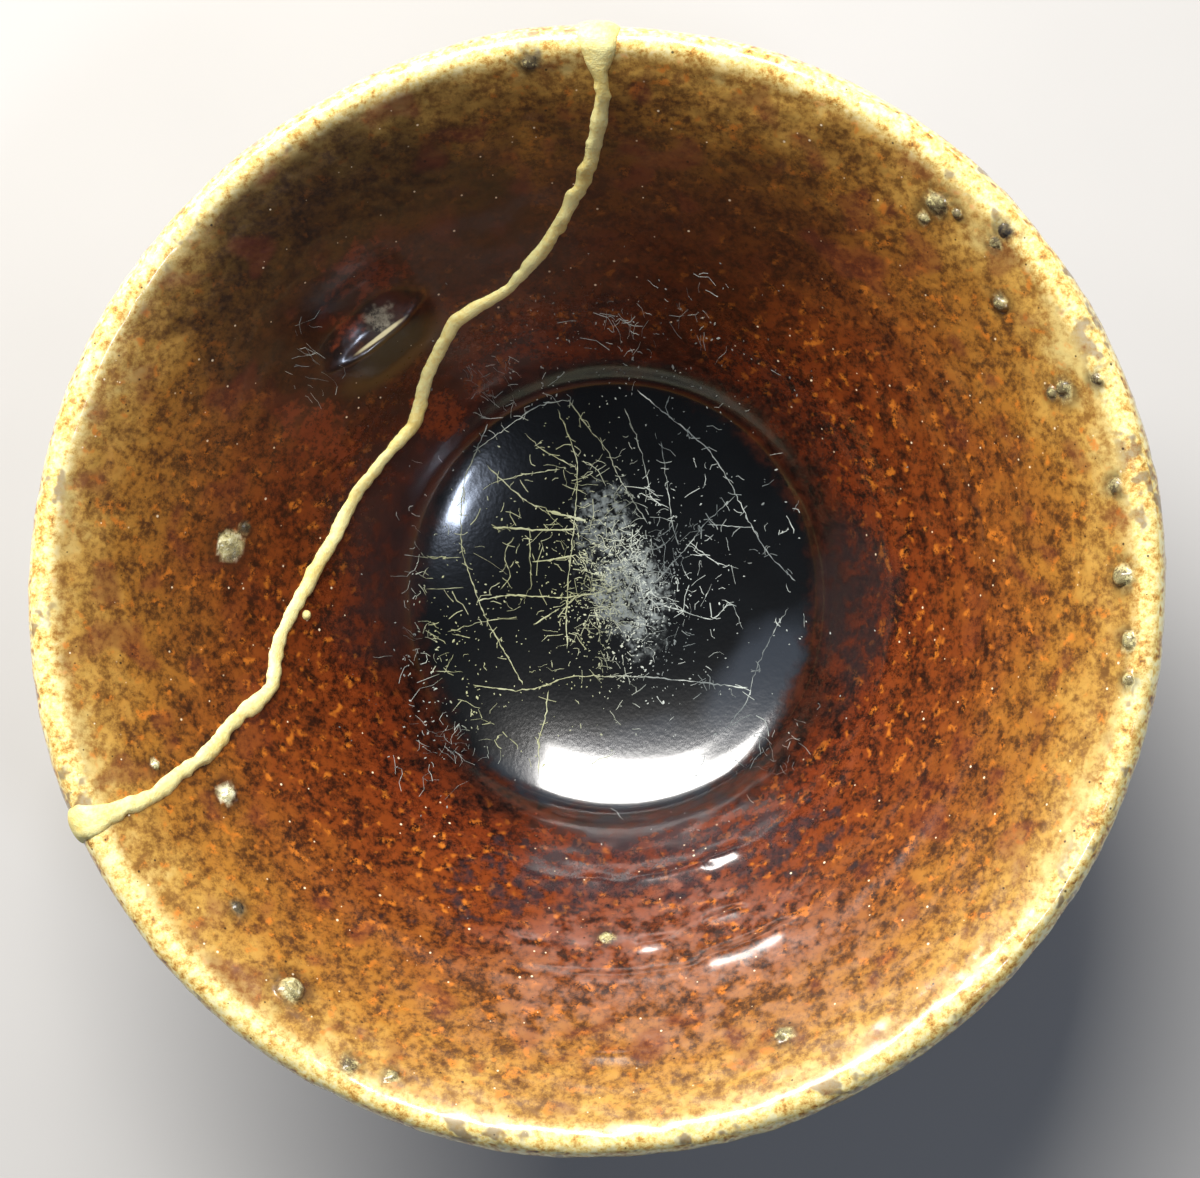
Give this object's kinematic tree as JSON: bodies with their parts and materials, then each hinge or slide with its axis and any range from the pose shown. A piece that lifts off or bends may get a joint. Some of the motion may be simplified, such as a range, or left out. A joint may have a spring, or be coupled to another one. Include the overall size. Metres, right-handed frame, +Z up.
{
  "type": "kintsugi bowl",
  "caption": "Conical tea bowl with a dark iron glaze, rounded lip and small turned foot, broken at the rim and mended with a raised gold seam.",
  "frame": {"origin": "centre of the foot ring, on the surface the bowl stands on", "axes": "+Z up along the bowl's axis, with the mended break on the side of -X and +Y"},
  "size_m": [0.1226, 0.122, 0.0534],
  "materials": {
    "iron_glaze": "glossy iron glaze, amber at the lip, rust brown on the wall and black in the well, with fine scratches",
    "gold_lacquer": "pale satin gold dust on lacquer"
  },
  "bodies": {
    "root": {"bowl_body": "iron_glaze", "rim_sherd": "iron_glaze", "gold_seam": "gold_lacquer"}
  },
  "joints": []
}
